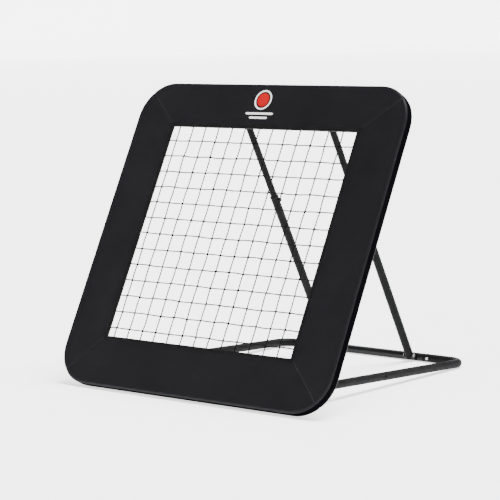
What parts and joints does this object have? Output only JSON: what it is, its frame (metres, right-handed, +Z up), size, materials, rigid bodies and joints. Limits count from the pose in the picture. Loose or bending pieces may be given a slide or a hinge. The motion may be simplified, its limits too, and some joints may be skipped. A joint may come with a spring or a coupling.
{
  "type": "pitch back rebounder",
  "caption": "Square padded rebounder frame with a knotted net, leaning back on a folding tube stand with two telescopic struts.",
  "frame": {"origin": "on the floor, in the middle of the footprint", "axes": "+X across the net to the right, +Y from the net face to the rear rail, +Z up"},
  "size_m": [1.28, 1.18, 1.112],
  "materials": {
    "cover_vinyl": "smooth coated vinyl over foam, soft satin sheen, charcoal black",
    "webbing": "woven black webbing",
    "net_twine": "thin knotted black twine",
    "elastic": "braided elastic cord",
    "zinc_steel": "bright zinc plated",
    "black_plastic": "moulded, fine grain",
    "coated_steel": "semi-gloss black powder coat"
  },
  "bodies": {
    "base": {"rear_rail": "coated_steel", "rail_joint_screws": "zinc_steel", "arm_joint_screws": "coated_steel", "foot_pivot_bolts": "zinc_steel", "foot_pivot_nuts": "zinc_steel", "rear_corner_left": "coated_steel", "rear_corner_right": "coated_steel", "side_arm_left": "coated_steel", "side_arm_right": "coated_steel", "arm_plug_left": "black_plastic", "arm_plug_right": "black_plastic", "rail_bracket_left": "coated_steel", "rail_bracket_right": "coated_steel"},
    "panel": {"frame_corner_top_left": "coated_steel", "frame_corner_top_right": "coated_steel", "frame_corner_bottom_left": "coated_steel", "frame_corner_bottom_right": "coated_steel", "frame_tube_top": "coated_steel", "frame_tube_bottom": "coated_steel", "frame_tube_left": "coated_steel", "frame_tube_right": "coated_steel", "frame_joint_screws": "zinc_steel", "cover_top": "cover_vinyl", "cover_bottom": "cover_vinyl", "cover_left": "cover_vinyl", "cover_right": "cover_vinyl", "cover_straps": "webbing", "net": "net_twine", "net_border_cord": "net_twine", "bungee_loops": "elastic", "bungee_hooks": "zinc_steel", "hinge_bolts": "zinc_steel", "hinge_nuts": "zinc_steel", "top_pivot_bolts": "zinc_steel", "top_pivot_nuts": "zinc_steel", "hinge_bracket_left": "coated_steel", "hinge_bracket_right": "coated_steel", "top_bracket_left": "coated_steel", "top_bracket_right": "coated_steel"},
    "lower_tube_left": {"lower_strut_left": "coated_steel", "foot_plug_left": "black_plastic", "mouth_bush_left": "black_plastic", "lock_boss_left": "coated_steel"},
    "upper_tube_left": {"upper_strut_left": "coated_steel", "strut_glide_left": "black_plastic", "strut_eye_left": "black_plastic"},
    "lock_left": {"lock_knob_left": "black_plastic", "lock_stud_left": "zinc_steel"},
    "lower_tube_right": {"lower_strut_right": "coated_steel", "foot_plug_right": "black_plastic", "mouth_bush_right": "black_plastic", "lock_boss_right": "coated_steel"},
    "upper_tube_right": {"upper_strut_right": "coated_steel", "strut_glide_right": "black_plastic", "strut_eye_right": "black_plastic"},
    "lock_right": {"lock_knob_right": "black_plastic", "lock_stud_right": "zinc_steel"}
  },
  "joints": [
    {"name": "panel_tilt", "type": "hinge", "parent": "base", "child": "panel", "pos_m": [0, -0.53467, 0.0707], "axis": [1, 0, 0], "range_deg": [-3.6, 10.8]},
    {"name": "strut_swing_left", "type": "hinge", "parent": "base", "child": "lower_tube_left", "pos_m": [-0.20175, 0.542, 0.026], "axis": [1, 0, 0], "range_deg": [-2.01, 5.82]},
    {"name": "strut_slide_left", "type": "slide", "parent": "lower_tube_left", "child": "upper_tube_left", "axis": [0, -0.4634, 0.8862], "range_m": [-0.05783, 0.1725]},
    {"name": "lock_turn_left", "type": "hinge", "parent": "lower_tube_left", "child": "lock_left", "pos_m": [-0.18575, 0.21486, 0.65163], "axis": [1, 0, 0], "range_deg": [0, 720]},
    {"name": "strut_swing_right", "type": "hinge", "parent": "base", "child": "lower_tube_right", "pos_m": [0.20175, 0.542, 0.026], "axis": [1, 0, 0], "range_deg": [-2.01, 5.82]},
    {"name": "strut_slide_right", "type": "slide", "parent": "lower_tube_right", "child": "upper_tube_right", "axis": [0, -0.4634, 0.8862], "range_m": [-0.05783, 0.1725]},
    {"name": "lock_turn_right", "type": "hinge", "parent": "lower_tube_right", "child": "lock_right", "pos_m": [0.18575, 0.21486, 0.65163], "axis": [-1, 0, 0], "range_deg": [0, 720]}
  ],
  "couplings": [
    {"joint": "strut_swing_left", "follows": "panel_tilt", "ratio": 0.53},
    {"joint": "strut_slide_left", "follows": "panel_tilt", "m_per_rad": 0.9125},
    {"joint": "strut_swing_right", "follows": "panel_tilt", "ratio": 0.53},
    {"joint": "strut_slide_right", "follows": "panel_tilt", "m_per_rad": 0.9125}
  ]
}
